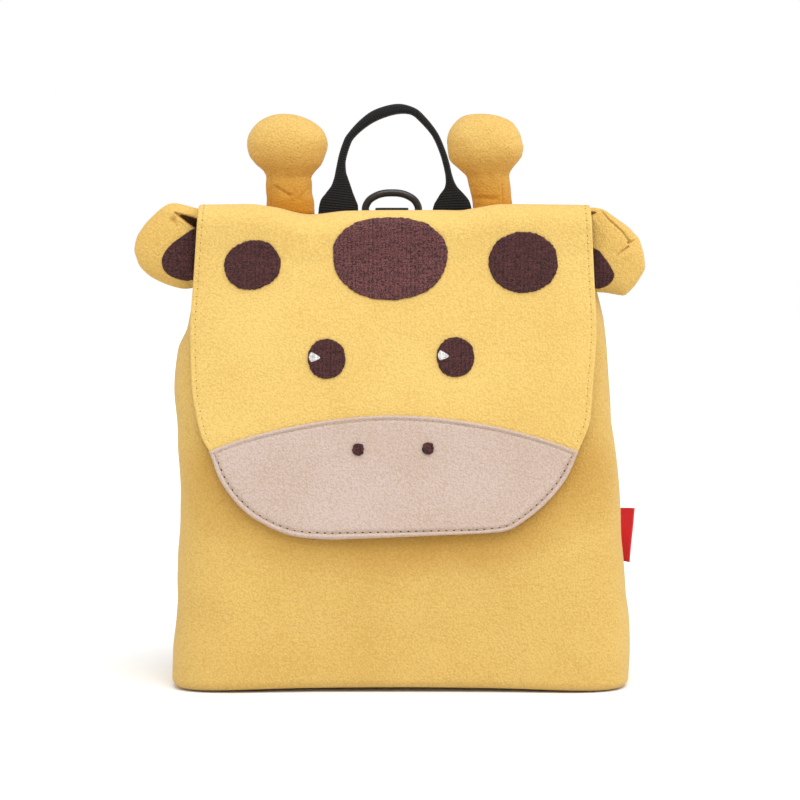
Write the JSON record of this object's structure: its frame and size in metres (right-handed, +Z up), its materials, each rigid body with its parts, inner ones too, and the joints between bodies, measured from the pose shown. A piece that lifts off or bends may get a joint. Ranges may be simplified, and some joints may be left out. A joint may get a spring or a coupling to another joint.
{
  "type": "kids animal backpack",
  "caption": "Small soft backpack with a giraffe face on its flap: stuffed ears and horns, embroidered spots and eyes, beige muzzle panel, webbing handle, ring and padded shoulder straps.",
  "frame": {"origin": "middle of the base, on the surface that the bag stands on", "axes": "+X to the right of the face as seen from the front, +Y to the back where the shoulder straps are, +Z up"},
  "size_m": [0.2923, 0.1425, 0.3396],
  "materials": {
    "yellow_suede": "warm yellow suede with a fine nap",
    "beige_suede": "pinkish beige suede with a fine nap",
    "brown_embroidery": "dense plum brown embroidery thread",
    "white_embroidery": "white embroidery thread",
    "black_webbing": "ribbed black woven webbing",
    "black_plastic": "glossy black moulded plastic",
    "red_label": "plain red woven tab"
  },
  "bodies": {
    "bag": {"bag_shell": "yellow_suede", "back_panel": "yellow_suede", "flap": "yellow_suede", "muzzle_panel": "beige_suede", "spot_centre": "brown_embroidery", "spot_left": "brown_embroidery", "spot_right": "brown_embroidery", "eye_left": "brown_embroidery", "eye_right": "brown_embroidery", "eye_highlight_left": "white_embroidery", "eye_highlight_right": "white_embroidery", "nostril_left": "brown_embroidery", "nostril_right": "brown_embroidery", "ear_left": "yellow_suede", "ear_right": "yellow_suede", "ear_patch_left": "brown_embroidery", "ear_patch_right": "brown_embroidery", "horn_left": "yellow_suede", "horn_right": "yellow_suede", "handle": "black_webbing", "d_ring_keeper": "black_webbing", "side_label": "red_label", "shoulder_strap_left": "yellow_suede", "shoulder_strap_right": "yellow_suede", "adjuster_left": "black_plastic", "adjuster_right": "black_plastic", "strap_webbing_left": "black_webbing", "strap_webbing_right": "black_webbing"},
    "ring": {"d_ring": "black_plastic"}
  },
  "joints": [
    {"name": "ring_swing", "type": "hinge", "parent": "bag", "child": "ring", "pos_m": [-0.0026, 0.05226, 0.2736], "axis": [-1, 0, 0], "range_deg": [-50, 155]}
  ]
}
